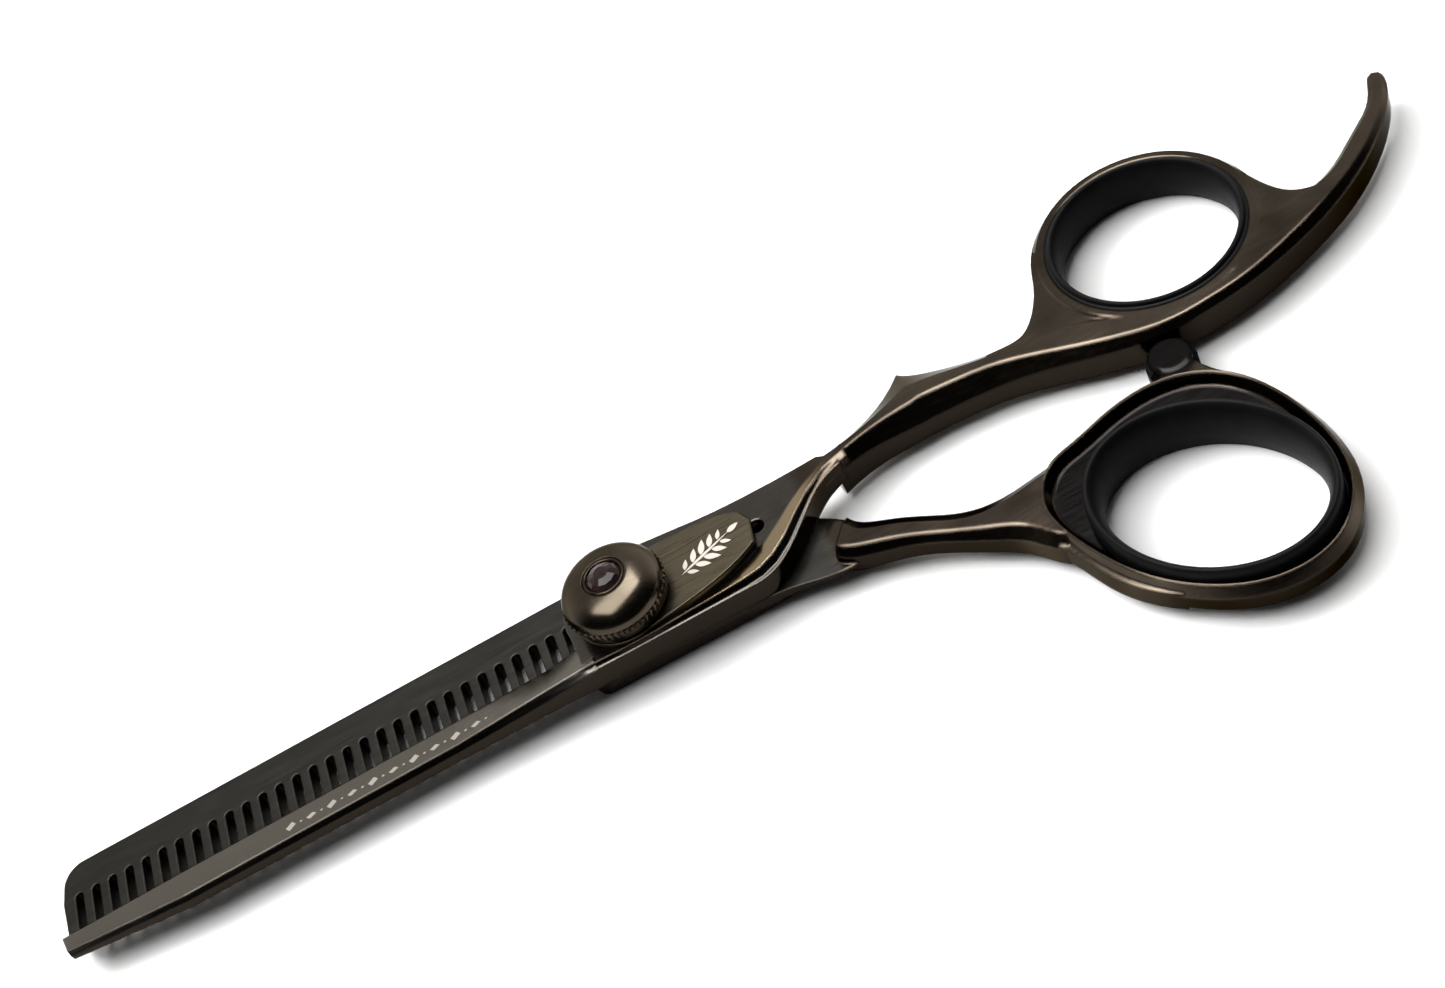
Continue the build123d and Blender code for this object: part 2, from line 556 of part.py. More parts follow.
stone_r = BEZEL_IN_R - SNUG
girdle_z = BEZEL_Z[1] - 0.15
foot_ring = facet_ring(stone_r, BEZEL_Z[0])
girdle_ring = facet_ring(stone_r, girdle_z)
crown_ring = facet_ring(0.78 * stone_r, girdle_z + 0.42)
table_ring = facet_ring(0.42 * stone_r, JEWEL_TOP)
jewel = loft([foot_ring, girdle_ring], ruled=True)
jewel += loft([girdle_ring, crown_ring], ruled=True)
jewel += loft([crown_ring, table_ring], ruled=True)

# ================================================================ export
nodes = {
    "cutting_half": cutting_half(),
    "finger_insert": finger_insert,
    "pivot_bush": pivot_bush,
    "tension_plate": tension_plate,
    "toothed_half": toothed_half(),
    "thumb_insert": thumb_insert,
    "bumper": bumper,
    "pivot_screw": pivot_screw,
    "thrust_washer": thrust_washer,
    "plate_washer": plate_washer,
    "tension_knob": tension_knob,
    "knob_insert": knob_insert,
    "jewel_bezel": jewel_bezel,
    "jewel": jewel,
}
os.makedirs("parts", exist_ok=True)
for name, shape in nodes.items():
    export_step(shape, f"parts/{name}.step")
    box = shape.bounding_box()
    print(name, round(shape.volume, 2), len(shape.solids()), shape.is_valid,
          [round(v, 2) for v in (box.min.X, box.min.Y, box.min.Z, box.max.X, box.max.Y, box.max.Z)])
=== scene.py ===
from math import cos, pi, radians, sin

import bpy
from mathutils import Matrix, Vector
from mathutils.bvhtree import BVHTree


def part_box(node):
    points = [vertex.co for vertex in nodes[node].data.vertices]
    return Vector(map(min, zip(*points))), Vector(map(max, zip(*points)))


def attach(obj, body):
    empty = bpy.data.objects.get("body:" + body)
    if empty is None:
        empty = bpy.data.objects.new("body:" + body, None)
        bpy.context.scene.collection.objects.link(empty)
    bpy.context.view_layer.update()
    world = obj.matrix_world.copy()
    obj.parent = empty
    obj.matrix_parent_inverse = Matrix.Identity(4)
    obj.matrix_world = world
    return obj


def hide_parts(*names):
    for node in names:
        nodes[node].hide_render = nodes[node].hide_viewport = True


# Looks for the thinning shears.  Metres, in the frame of the CAD model: origin on the pivot
# axis, +Z up, -X towards the blade tips, +Y towards the finger ring.

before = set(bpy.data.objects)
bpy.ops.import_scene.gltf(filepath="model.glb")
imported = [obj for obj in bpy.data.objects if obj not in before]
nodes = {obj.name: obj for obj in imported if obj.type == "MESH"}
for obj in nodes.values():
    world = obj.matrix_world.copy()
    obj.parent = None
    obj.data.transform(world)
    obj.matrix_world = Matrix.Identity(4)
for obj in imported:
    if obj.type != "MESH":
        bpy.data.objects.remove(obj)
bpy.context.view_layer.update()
scene = bpy.context.scene
MM = 0.001

# ---------------------------------------------------------------- camera
CAMERA_PLACE = Vector((26.79, -151.46, 170.0)) * MM
CAMERA_RIGHT = Vector((0.87542, -0.31253, -0.36873))
CAMERA_UP = Vector((0.48032, 0.64787, 0.59123))
LENS = 53.34
SENSOR = 36.0
FLOOR_HALF = 3.0

# ---------------------------------------------------------------- lights: place, size, watts
KEY = ((-0.55, 0.40, 0.75), (0.45, 0.45), 6.0)
SOFTBOX = ((-0.05, 0.08, 0.90), (1.10, 0.60), 36.0)
CEILING = ((-0.30, 0.25, 1.00), (1.30, 1.30), 20.0)
LIGHTS_AIM = (0.01, 0, 0)
# How bright the room is from the horizon (0) to overhead (1), and its dark near side.
ROOM_BRIGHTNESS = ((0.0, 2.2), (0.25, 1.5), (0.55, 1.0), (0.80, 0.75), (1.0, 0.6))
ROOM_WARMTH = (1.0, 0.985, 0.955)
ROOM_DARK = (0.03, 0.03, 0.03)
ROOM_TURN = (-0.15, 0.45)  # Y of the view direction where dark gives way to bright

# ---------------------------------------------------------------- finishes, linear colour
STEEL = (0.074, 0.060, 0.046)
STEEL_DEEP = (0.034, 0.027, 0.021)
BLADE_STEEL = (0.056, 0.052, 0.046)
KNOB_STEEL = (0.030, 0.025, 0.018)
# painted shade: darker steel for the walls that face the near side
SHADED_WALL_STEEL = (0.017, 0.013, 0.010)
WORN_GOLD = (0.170, 0.132, 0.084)
HANDLE_TINT = (0.44, 0.44, 0.43)   # how bright the steel gets at a grazing view
BLADE_TINT = (0.66, 0.64, 0.61)
COMB_DARK = (0.021, 0.020, 0.018)
PLATE_STEEL = (0.045, 0.038, 0.026)
SHADE_AND_LUG_BLACK = (0.010, 0.009, 0.009)
# black used as painted shade on the thumb ring's sunk floor, and as the bumper lug's own rubber black
RUBBER = (0.0018, 0.0018, 0.002)
ETCHED = (0.62, 0.56, 0.50)
ETCHED_FAINT = (0.27, 0.245, 0.22)
BRASS = (0.55, 0.40, 0.18)
STONE = (0.011, 0.006, 0.006)
WHITE_PLASTIC = (0.75, 0.75, 0.72)
BLACK_PLASTIC = (0.02, 0.02, 0.02)
FLOOR_GREY = (0.93, 0.93, 0.93)
EDGE_ROUND = 0.50 * MM     # softening of the handles' worked edges
BLADE_EDGE = 0.35 * MM     # softening of the blades
CRISP_EDGE = 0.10 * MM     # softening of the pivot parts
CLOUD_SIZE = 9 * MM        # tone patches in the coating
WIPE_SIZE = 0.25 * MM      # fine polishing marks, drawn out along X
WIPE_STRETCH = (0.06, 1, 1)
WIPE_DEPTH = 0.003 * MM
HANDLE_ROUGH = (0.09, 0.17)
SHADED_DISH_LEVELS = (4.0 * MM, 4.2 * MM)  # levels about the thumb ring's sunk floor, which gets black painted shade
CREST_RISE = (1 * MM, 9 * MM)      # the bank's warm tone grows over this stretch of X
CREST_FADE = (26 * MM, 21 * MM)    # and is gone by here
CREST_FOOT = (6.02 * MM, 6.15 * MM)
BLACK_LUG = ((61.7 * MM, -5.0 * MM, 4.0 * MM), 3.3 * MM)

# ---------------------------------------------------------------- places, from the frame
finger_low, finger_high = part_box("finger_insert")
thumb_low, thumb_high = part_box("thumb_insert")
HANDLE_START = 21 * MM     # the polished handles begin behind the ride area
THUMB_TILT = radians(-50)  # direction of the long axis of the thumb opening
FINGER_WAIST = (9.6 * MM, 9.6 * MM)
THUMB_WAIST = (11.2 * MM, 8.8 * MM)
LINER_STEPS = 160

# Sections of the rubber liners: (distance out from the waist, height) in mm, once round,
# up the bore, over the crown, down the outside and back under the foot.
FINGER_PROFILE = (
    (0.00, 3.2), (0.04, 4.0), (0.14, 4.8), (0.30, 5.5), (0.48, 5.95), (0.68, 6.18),
    (0.88, 6.18), (1.04, 6.02), (1.10, 5.86), (1.14, 5.78), (1.30, 5.74), (1.39, 5.66),
    (1.39, 5.3), (1.39, 1.0), (1.42, 0.67), (1.58, 0.55), (1.60, 0.25), (1.40, 0.03),
    (1.12, 0.0), (0.88, 0.16), (0.58, 0.75), (0.25, 1.5), (0.05, 2.4))
THUMB_PROFILE = (
    (0.00, 3.4), (0.04, 4.3), (0.20, 5.2), (0.46, 6.0), (0.74, 6.5), (0.98, 6.74),
    (1.20, 6.78), (1.42, 6.62), (1.54, 6.3), (1.60, 5.6), (1.60, 4.5), (1.52, 4.14),
    (1.10, 4.12), (0.99, 3.9), (0.99, 1.1), (1.02, 0.86), (1.18, 0.7), (1.18, 0.3),
    (1.05, 0.03), (0.85, 0.0), (0.68, 0.16), (0.45, 0.8), (0.20, 1.7), (0.04, 2.6))

# Ornaments, in mm.
STEM = ((6.9, -0.9), (13.4, 1.5))
STEM_WIDTH = 0.34
LEAF_SIZES = (1.25, 1.6, 1.75, 1.55, 1.2)
FIRST_LEAF = 0.10          # along the stem, as shares of its length
LEAF_GAP = 0.17
CHAIN_START = (-42.0, -3.35)
CHAIN_PITCH = 2.5
CHAIN_COUNT = 10
CHAIN_HALF_LENGTH = 0.62
CHAIN_HALF_HEIGHTS = (0.72, 0.5)
CHAIN_SLANT = 0.14
CHAIN_DOT = 0.16
MARK_LIFT = 0.012 * MM     # how far the ornaments stand above and reach below the surface

# The Mix node keeps its number and colour sockets in one list, so they are picked by place.
FIRST_NUMBER, SECOND_NUMBER, MIXED_NUMBER = 2, 3, 0
FIRST_COLOUR, SECOND_COLOUR, MIXED_COLOUR = 6, 7, 2


# ================================================================ node helpers
class Graph:
    """A material's node tree around one Principled shader."""

    def __init__(self, name):
        self.material = bpy.data.materials.new(name)
        self.material.use_nodes = True
        self.tree = self.material.node_tree
        self.tree.nodes.clear()
        self.shader = self.add("ShaderNodeBsdfPrincipled")
        output = self.add("ShaderNodeOutputMaterial")
        self.link(self.shader, "BSDF", output, "Surface")
        self.coords = self.add("ShaderNodeTexCoord")

    def add(self, kind, **values):
        node = self.tree.nodes.new(kind)
        for key, value in values.items():
            setattr(node, key, value)
        return node

    def link(self, source, output, target, socket):
        self.tree.links.new(source.outputs[output], target.inputs[socket])

    def set(self, **values):
        """Plain numbers on the shader's own sockets; underscores stand for spaces."""
        for key, value in values.items():
            self.shader.inputs[key.replace("_", " ")].default_value = value

    def placed(self, scale=(1, 1, 1), turn=0.0):
        """Object coordinates, scaled and turned about Z."""
        mapping = self.add("ShaderNodeMapping")
        mapping.inputs["Scale"].default_value = scale
        mapping.inputs["Rotation"].default_value = (0, 0, turn)
        self.link(self.coords, "Object", mapping, "Vector")
        return mapping

    def noise(self, size, detail=3.0, stretch=(1, 1, 1), turn=0.0):
        """Noise whose lumps are about size metres across."""
        mapping = self.placed([s / size for s in stretch], turn)
        texture = self.add("ShaderNodeTexNoise")
        texture.inputs["Scale"].default_value = 1.0
        texture.inputs["Detail"].default_value = detail
        self.link(mapping, "Vector", texture, "Vector")
        return texture

    def spread(self, source, output, low, high, from_low=0.3, from_high=0.7):
        """Remaps a value to low..high."""
        remap = self.add("ShaderNodeMapRange")
        remap.inputs["From Min"].default_value = from_low
        remap.inputs["From Max"].default_value = from_high
        remap.inputs["To Min"].default_value = low
        remap.inputs["To Max"].default_value = high
        self.link(source, output, remap, "Value")
        return remap

    def blend_colours(self, factor, output, first, second):
        """Mix of two colours or nodes' colours by a factor."""
        mix = self.add("ShaderNodeMix", data_type="RGBA")
        self.link(factor, output, mix, "Factor")
        for socket, value in ((FIRST_COLOUR, first), (SECOND_COLOUR, second)):
            if isinstance(value, tuple):
                mix.inputs[socket].default_value = (*value[:3], 1.0)
            else:
                self.tree.links.new(value.outputs[MIXED_COLOUR], mix.inputs[socket])
        return mix

    def paint(self, mix, socket="Base Color"):
        """Feeds a colour mix into one of the shader's sockets."""
        self.tree.links.new(mix.outputs[MIXED_COLOUR], self.shader.inputs[socket])

    def maths(self, operation, first, second=None, clamp=False):
        """One arithmetic step; inputs are numbers or (node, output) pairs."""
        node = self.add("ShaderNodeMath", operation=operation, use_clamp=clamp)
        for index, value in enumerate((first, second)):
            if value is None:
                continue
            if isinstance(value, tuple):
                self.tree.links.new(value[0].outputs[value[1]], node.inputs[index])
            else:
                node.inputs[index].default_value = value
        return node

    def bump(self, source, output, height, strength=1.0, below=None):
        """Bump of a given height in metres; below is a node that makes the normal under it."""
        node = self.add("ShaderNodeBump")
        node.inputs["Strength"].default_value = strength
        node.inputs["Distance"].default_value = height
        self.link(source, output, node, "Height")
        if below:
            self.link(below, "Normal", node, "Normal")
        return node

    def soft_edges(self, radius):
        node = self.add("ShaderNodeBevel", samples=6)
        node.inputs["Radius"].default_value = radius
        return node

    def ramp_along(self, axis, start, end, space="Object"):
        """0 to 1 as the place goes from start to end along an axis."""
        parts = self.add("ShaderNodeSeparateXYZ")
        self.link(self.coords, space, parts, "Vector")
        remap = self.add("ShaderNodeMapRange", interpolation_type="SMOOTHSTEP")
        remap.inputs["From Min"].default_value = start
        remap.inputs["From Max"].default_value = end
        self.link(parts, axis, remap, "Value")
        return remap

    def facing_up_between(self, low, high):
        """1 on level faces whose height lies between two levels."""
        place = self.add("ShaderNodeSeparateXYZ")
        self.link(self.coords, "Object", place, "Vector")
        facing = self.add("ShaderNodeSeparateXYZ")
        self.link(self.coords, "Normal", facing, "Vector")
        above = self.maths("GREATER_THAN", (place, "Z"), low)
        below = self.maths("LESS_THAN", (place, "Z"), high)
        level = self.maths("GREATER_THAN", (facing, "Z"), 0.9)
        slab = self.maths("MULTIPLY", (above, "Value"), (below, "Value"))
        return self.maths("MULTIPLY", (slab, "Value"), (level, "Value"))

    def near(self, centre, radius):
        """1 close to a point, fading to 0 at the radius."""
        span = self.add("ShaderNodeVectorMath", operation="DISTANCE")
        span.inputs[1].default_value = centre
        self.link(self.coords, "Object", span, "Vector")
        remap = self.add("ShaderNodeMapRange")
        remap.inputs["From Min"].default_value = radius
        remap.inputs["From Max"].default_value = 0.85 * radius
        self.link(span, "Value", remap, "Value")
        return remap

    def shaded_near_wall(self):
        """1 on the walls that face away from the finger ring, where painted shade darkens the steel."""
        facing = self.add("ShaderNodeSeparateXYZ")
        self.link(self.coords, "Normal", facing, "Vector")
        remap = self.add("ShaderNodeMapRange", interpolation_type="SMOOTHSTEP")
        remap.inputs["From Min"].default_value = -0.55
        remap.inputs["From Max"].default_value = -0.85
        self.link(facing, "Y", remap, "Value")
        return remap

    def crest_bank(self):
        """1 on the bank of the crest that faces the leaf plate."""
        along = self.ramp_along("X", *CREST_RISE)
        ends = self.ramp_along("X", *CREST_FADE)
        high = self.ramp_along("Z", *CREST_FOOT)
        facing = self.add("ShaderNodeSeparateXYZ")
        self.link(self.coords, "Normal", facing, "Vector")
        bank = self.maths("GREATER_THAN", (facing, "Y"), 0.1)
        reach = self.maths("MULTIPLY", (along, "Result"), (ends, "Result"))
        above = self.maths("MULTIPLY", (reach, "Value"), (high, "Result"))
        return self.maths("MULTIPLY", (above, "Value"), (bank, "Value"))


# ================================================================ materials
def steel(name, colour, deep, rough, edge):
    """Polished, dark coated steel with cloudy tone, fine wipe marks and softened edges."""
    g = Graph(name)
    g.set(Metallic=1.0, Specular_Tint=(*HANDLE_TINT, 1.0))
    clouds = g.noise(CLOUD_SIZE, 2.0)
    tone = g.spread(clouds, "Fac", 0.0, 1.0)
    colour_mix = g.blend_colours(tone, "Result", colour, deep)
    g.paint(colour_mix)
    wipes = g.noise(WIPE_SIZE, 2.0, WIPE_STRETCH)
    roughness = g.spread(wipes, "Fac", *rough)
    g.link(roughness, "Result", g.shader, "Roughness")
    relief = g.bump(wipes, "Fac", WIPE_DEPTH, 0.3, g.soft_edges(edge))
    g.link(relief, "Normal", g.shader, "Normal")
    return g.material


def two_finish_steel(name, half, blade_colour, blade_rough):
    """Polished behind the pivot, with its own tone and satin roughness on the blade."""
    g = Graph(name)
    g.set(Metallic=1.0)
    clouds = g.noise(CLOUD_SIZE, 2.0)
    tone = g.spread(clouds, "Fac", 0.0, 1.0)
    handle = g.blend_colours(tone, "Result", STEEL, STEEL_DEEP)
    blade = g.blend_colours(tone, "Result", blade_colour, tuple(0.85 * c for c in blade_colour))
    behind = g.ramp_along("X", HANDLE_START, HANDLE_START + 2 * MM)
    mixed = g.blend_colours(behind, "Result", blade, handle)
    # painted shade on the walls that face the near side
    mixed = g.blend_colours(g.shaded_near_wall(), "Result", mixed, SHADED_WALL_STEEL)
    tint = g.blend_colours(behind, "Result", BLADE_TINT, HANDLE_TINT)
    g.paint(tint, "Specular Tint")
    if half == "comb":
        # painted shade: the thumb ring's sunk floor is painted black
        mixed = g.blend_colours(g.facing_up_between(*SHADED_DISH_LEVELS), "Value", mixed, SHADE_AND_LUG_BLACK)
        # the bumper lug's top takes the black of its rubber
        mixed = g.blend_colours(g.near(*BLACK_LUG), "Result", mixed, SHADE_AND_LUG_BLACK)
    else:
        mixed = g.blend_colours(g.crest_bank(), "Value", mixed, WORN_GOLD)
    g.paint(mixed)
    wipes = g.noise(WIPE_SIZE, 2.0, WIPE_STRETCH)
    fine = g.spread(wipes, "Fac", *HANDLE_ROUGH)
    satin = g.spread(wipes, "Fac", *blade_rough)
    rough = g.add("ShaderNodeMix", data_type="FLOAT")
    g.link(behind, "Result", rough, "Factor")
    g.tree.links.new(satin.outputs["Result"], rough.inputs[FIRST_NUMBER])
    g.tree.links.new(fine.outputs["Result"], rough.inputs[SECOND_NUMBER])
    g.tree.links.new(rough.outputs[MIXED_NUMBER], g.shader.inputs["Roughness"])
    edge = g.add("ShaderNodeMapRange")
    edge.inputs["To Min"].default_value = BLADE_EDGE
    edge.inputs["To Max"].default_value = EDGE_ROUND
    g.link(behind, "Result", edge, "Value")
    normal = g.soft_edges(EDGE_ROUND)
    g.link(edge, "Result", normal, "Radius")
    relief = g.bump(wipes, "Fac", WIPE_DEPTH, 0.3, normal)
    g.link(relief, "Normal", g.shader, "Normal")
    return g.material


def rubber(name):
    """Moulded black rubber: matt, finely pitted, with a dusty bloom."""
    g = Graph(name)
    g.set(IOR=1.13)
    bloom = g.noise(2.5 * MM, 4.0)
    tone = g.spread(bloom, "Fac", 0.0, 1.0)
    mix = g.blend_colours(tone, "Result", RUBBER, tuple(2.0 * c for c in RUBBER))
    g.paint(mix)
    pits = g.noise(0.12 * MM, 3.0)
    rough = g.spread(pits, "Fac", 0.42, 0.58)
    g.link(rough, "Result", g.shader, "Roughness")
    relief = g.bump(pits, "Fac", 0.006 * MM, 0.5)
    g.link(relief, "Normal", g.shader, "Normal")
    return g.material


def plain(name, colour, rough, metallic=0.0, size=0.6 * MM):
    """Turned or moulded small part with faint tone and roughness variation."""
    g = Graph(name)
    g.set(Metallic=metallic)
    marks = g.noise(size, 3.0)
    tone = g.spread(marks, "Fac", 0.0, 1.0)
    mix = g.blend_colours(tone, "Result", colour, tuple(0.8 * c for c in colour))
    g.paint(mix)
    roughness = g.spread(marks, "Fac", rough, rough + 0.12)
    g.link(roughness, "Result", g.shader, "Roughness")
    return g.material


def stone():
    """Smoky cut stone."""
    g = Graph("smoky_stone")
    g.set(Roughness=0.12, IOR=1.35, Specular_IOR_Level=0.2)
    veil = g.noise(1.1 * MM, 2.0)
    tone = g.spread(veil, "Fac", 0.0, 1.0)
    mix = g.blend_colours(tone, "Result", STONE, tuple(2.2 * c for c in STONE))
    g.paint(mix)
    return g.material


def etched(name, colour):
    """Frosted laser mark."""
    g = Graph(name)
    g.set(Specular_IOR_Level=0.1)
    frost = g.noise(0.08 * MM, 3.0)
    tone = g.spread(frost, "Fac", 0.0, 1.0)
    mix = g.blend_colours(tone, "Result", colour, tuple(0.75 * c for c in colour))
    g.paint(mix)
    roughness = g.spread(frost, "Fac", 0.45, 0.7)
    g.link(roughness, "Result", g.shader, "Roughness")
    return g.material


def dress(node, material):
    """Gives a CAD node one material in all its slots."""
    mesh = nodes[node].data
    if not mesh.materials:
        mesh.materials.append(material)
    for index in range(len(mesh.materials)):
        mesh.materials[index] = material


# ================================================================ shapes
def new_piece(name, vertices, faces, material, body):
    """Mesh object with one material, riding on a body."""
    mesh = bpy.data.meshes.new(name)
    mesh.from_pydata(vertices, [], faces)
    mesh.materials.append(material)
    piece = bpy.data.objects.new(name, mesh)
    scene.collection.objects.link(piece)
    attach(piece, body)
    return piece


def smooth_loop(points, steps):
    """Closed Catmull-Rom curve through (x, y) points."""
    curve = []
    count = len(points)
    for index in range(count):
        p0, p1, p2, p3 = (Vector(points[(index + k) % count]) for k in (-1, 0, 1, 2))
        for step in range(steps):
            t = step / steps
            curve.append(0.5 * (2 * p1 + (p2 - p0) * t + (2 * p0 - 5 * p1 + 4 * p2 - p3) * t * t
                                + (3 * p1 - 3 * p2 + p3 - p0) * t * t * t))
    return curve


def liner(name, node, body, centre, tilt, waist, profile):
    """Moulded rubber ring: a rounded section swept round an oval.

    profile holds (distance out from the waist, height) in mm, once round the section.
    """
    section = smooth_loop(profile, 3)
    count = len(section)
    vertices = []
    for step in range(LINER_STEPS):
        angle = 2 * pi * step / LINER_STEPS
        for out, height in section:
            across = (waist[0] + out * MM) * cos(angle)
            along = (waist[1] + out * MM) * sin(angle)
            vertices.append((centre[0] + across * cos(tilt) - along * sin(tilt),
                             centre[1] + across * sin(tilt) + along * cos(tilt),
                             max(height, 0.0) * MM))
    faces = []
    for step in range(LINER_STEPS):
        here = step * count
        there = (step + 1) % LINER_STEPS * count
        for index in range(count):
            following = (index + 1) % count
            faces.append((here + index, there + index, there + following, here + following))
    piece = new_piece(name, vertices, faces, rubber("rubber_" + name), body)
    piece.data.shade_smooth()
    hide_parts(node)
    return piece


def middle(low, high):
    """Centre of a box, seen from above."""
    return ((low[0] + high[0]) / 2, (low[1] + high[1]) / 2)


def leaf(base, tip, width, steps=10):
    """Outline of a pointed leaf between two points, in mm."""
    base, tip = Vector(base), Vector(tip)
    along = tip - base
    across = Vector((-along.y, along.x)).normalized()
    outline = []
    for side in (1, -1):
        for step in range(steps):
            t = step / steps if side == 1 else 1 - step / steps
            bulge = sin(pi * t ** 0.8) * width / 2
            outline.append(base + along * t + across * bulge * side)
    return outline


def disc(centre, radius, steps=16):
    """Outline of a round dot, in mm."""
    outline = []
    for step in range(steps):
        angle = 2 * pi * step / steps
        outline.append(Vector(centre) + radius * Vector((cos(angle), sin(angle))))
    return outline


def inlay(name, outlines, node, body, material):
    """Thin marks, given as flat outlines in mm, laid on top of a CAD node."""
    tree = BVHTree.FromObject(nodes[node], bpy.context.evaluated_depsgraph_get())
    vertices = []
    faces = []
    for outline in outlines:
        start = len(vertices)
        for point in outline:
            above = Vector((point.x * MM, point.y * MM, 20 * MM))
            place = tree.ray_cast(above, Vector((0, 0, -1)))[0]
            vertices.append(place + Vector((0, 0, MARK_LIFT)))
        for point in vertices[start:]:
            vertices.append(point - Vector((0, 0, 2 * MARK_LIFT)))
        count = len(outline)
        faces.append([start + k for k in range(count)])
        faces.append([start + 2 * count - 1 - k for k in range(count)])
        for k in range(count):
            n = (k + 1) % count
            faces.append((start + k, start + count + k, start + count + n, start + n))
    return new_piece(name, vertices, faces, material, body)


def sprig():
    """Plain leafy sprig for the leaf plate."""
    stem_start, stem_end = (Vector(point) for point in STEM)
    along = (stem_end - stem_start).normalized()
    across = Vector((-along.y, along.x))
    length = (stem_end - stem_start).length
    shapes = [leaf(stem_start, stem_end, STEM_WIDTH)]
    for index, size in enumerate(LEAF_SIZES):
        root = stem_start + along * length * (FIRST_LEAF + LEAF_GAP * index)
        for side in (1, -1):
            tip = root + along * size * 0.75 + across * side * size
            shapes.append(leaf(root + across * side * 0.22, tip, 0.42 * size))
    shapes.append(leaf(stem_end - along * 0.3, stem_end + along * 1.3, 0.7))
    return shapes


def lozenge_chain():
    """Row of lozenges and dots for the blade's bevel."""
    shapes = []
    for index in range(CHAIN_COUNT):
        centre = Vector(CHAIN_START) + Vector((CHAIN_PITCH * index, 0))
        half = CHAIN_HALF_HEIGHTS[index % 2]
        left, right = (-CHAIN_HALF_LENGTH, 0), (CHAIN_HALF_LENGTH, 0)
        corners = (left, (-CHAIN_SLANT, -half), right, (CHAIN_SLANT, half))
        shapes.append([centre + Vector(corner) for corner in corners])
        shapes.append(disc(centre + Vector((CHAIN_PITCH / 2, 0)), CHAIN_DOT))
    return shapes


# ================================================================ stage
def build_camera():
    """Fixed viewpoint, above the thumb side."""
    back = CAMERA_RIGHT.cross(CAMERA_UP)
    turn = Matrix((CAMERA_RIGHT, CAMERA_UP, back)).transposed()
    data = bpy.data.cameras.new("camera")
    data.lens = LENS
    data.sensor_width = SENSOR
    data.clip_start = 0.005
    camera = bpy.data.objects.new("camera", data)
    camera.matrix_world = Matrix.Translation(CAMERA_PLACE) @ turn.to_4x4()
    scene.collection.objects.link(camera)
    scene.camera = camera


def build_floor():
    mesh = bpy.data.meshes.new("floor")
    half = FLOOR_HALF
    corners = [(-half, -half, 0), (half, -half, 0), (half, half, 0), (-half, half, 0)]
    mesh.from_pydata(corners, [], [(0, 1, 2, 3)])
    floor = bpy.data.objects.new("floor", mesh)
    scene.collection.objects.link(floor)
    g = Graph("pale_floor")
    g.set(Roughness=0.9, Base_Color=(*FLOOR_GREY, 1.0), Specular_IOR_Level=0.2)
    mesh.materials.append(g.material)


def area_light(name, place, size, power):
    data = bpy.data.lights.new(name, "AREA")
    data.shape = "RECTANGLE"
    data.size, data.size_y = size
    data.energy = power
    light = bpy.data.objects.new(name, data)
    light.location = place
    light.rotation_mode = "QUATERNION"
    light.rotation_quaternion = (Vector(LIGHTS_AIM) - Vector(place)).to_track_quat("-Z", "Y")
    scene.collection.objects.link(light)
    return light


def build_lights():
    """A softbox that only shows in reflections, and two lights that only light surfaces."""
    key = area_light("key", *KEY)
    softbox = area_light("softbox", *SOFTBOX)
    softbox.visible_diffuse = False
    ceiling = area_light("ceiling", *CEILING)
    for light in (key, ceiling):
        light.visible_glossy = False


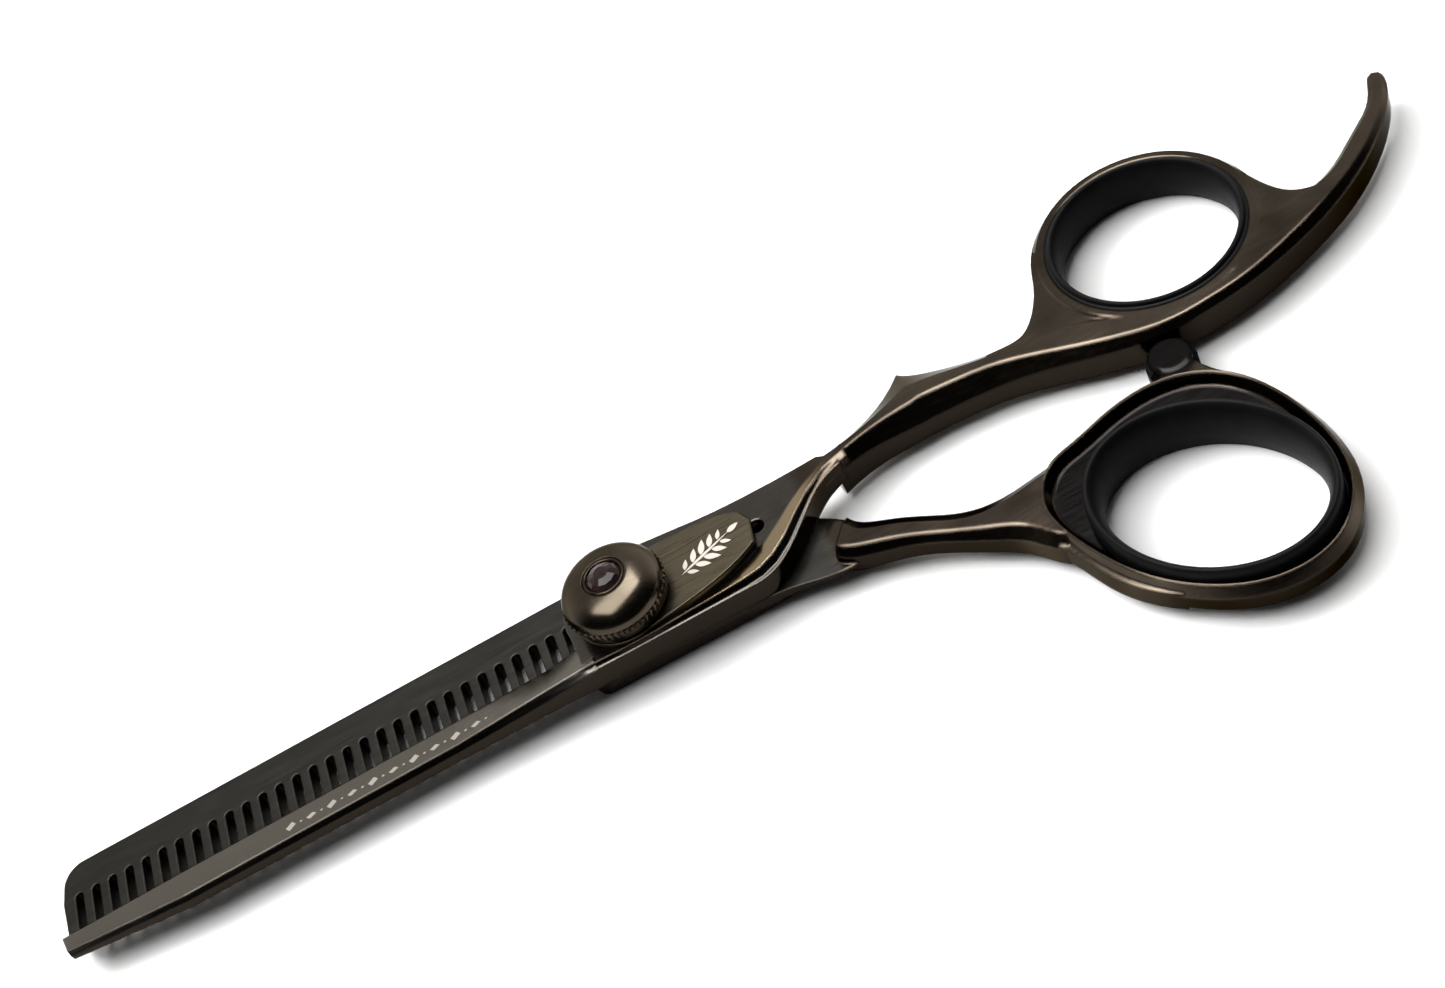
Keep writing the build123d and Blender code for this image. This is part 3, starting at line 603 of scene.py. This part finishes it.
def build_room():
    """World that is brightest at the horizon and dark on the near side."""
    world = bpy.data.worlds.new("studio")
    scene.world = world
    world.use_nodes = True
    tree = world.node_tree
    background = tree.nodes["Background"]
    coords = tree.nodes.new("ShaderNodeTexCoord")
    parts = tree.nodes.new("ShaderNodeSeparateXYZ")
    tree.links.new(coords.outputs["Generated"], parts.inputs["Vector"])
    rise = tree.nodes.new("ShaderNodeValToRGB")
    elements = rise.color_ramp.elements
    while len(elements) < len(ROOM_BRIGHTNESS):
        elements.new(0.5)
    for element, (place, value) in zip(elements, ROOM_BRIGHTNESS):
        element.position = place
        element.color = (*(value * share for share in ROOM_WARMTH), 1.0)
    tree.links.new(parts.outputs["Z"], rise.inputs["Fac"])
    turn = tree.nodes.new("ShaderNodeMapRange")
    turn.interpolation_type = "SMOOTHSTEP"
    turn.inputs["From Min"].default_value = ROOM_TURN[0]
    turn.inputs["From Max"].default_value = ROOM_TURN[1]
    tree.links.new(parts.outputs["Y"], turn.inputs["Value"])
    mix = tree.nodes.new("ShaderNodeMix")
    mix.data_type = "RGBA"
    mix.inputs[FIRST_COLOUR].default_value = (*ROOM_DARK, 1.0)
    tree.links.new(turn.outputs["Result"], mix.inputs["Factor"])
    tree.links.new(rise.outputs["Color"], mix.inputs[SECOND_COLOUR])
    tree.links.new(mix.outputs[MIXED_COLOUR], background.inputs["Color"])
    background.inputs["Strength"].default_value = 1.0
    scene.view_settings.view_transform = "Standard"
    scene.view_settings.look = "None"


# ================================================================ assembly
build_camera()
build_floor()
build_lights()
build_room()

dress("cutting_half", two_finish_steel("coated_steel_cutting", "cutting", BLADE_STEEL, (0.14, 0.22)))
dress("toothed_half", two_finish_steel("coated_steel_comb", "comb", COMB_DARK, (0.30, 0.40)))
dress("tension_plate", steel("coated_steel_plate", PLATE_STEEL, PLATE_STEEL, (0.26, 0.36), CRISP_EDGE))
dress("tension_knob", steel("coated_steel_knob", KNOB_STEEL, STEEL, (0.17, 0.24), CRISP_EDGE))
dress("jewel_bezel", steel("coated_steel_bezel", STEEL_DEEP, STEEL_DEEP, (0.12, 0.2), CRISP_EDGE))
dress("pivot_screw", steel("coated_steel_screw", STEEL, STEEL_DEEP, (0.25, 0.35), CRISP_EDGE))
dress("bumper", rubber("rubber_bumper"))
finger_centre = middle(finger_low, finger_high)
thumb_centre = middle(thumb_low, thumb_high)
liner("finger_liner", "finger_insert", "finger_side", finger_centre, 0.0, FINGER_WAIST, FINGER_PROFILE)
liner("thumb_liner", "thumb_insert", "thumb_side", thumb_centre, THUMB_TILT, THUMB_WAIST, THUMB_PROFILE)
inlay("plate_sprig", sprig(), "tension_plate", "finger_side", etched("etched_mark", ETCHED))
inlay("blade_chain", lozenge_chain(), "cutting_half", "finger_side", etched("etched_faint", ETCHED_FAINT))
dress("pivot_bush", plain("turned_brass_bush", BRASS, 0.25, 1.0))
dress("knob_insert", plain("turned_brass_sleeve", BRASS, 0.25, 1.0))
dress("thrust_washer", plain("white_plastic", WHITE_PLASTIC, 0.4))
dress("plate_washer", plain("black_plastic", BLACK_PLASTIC, 0.4))
dress("jewel", stone())
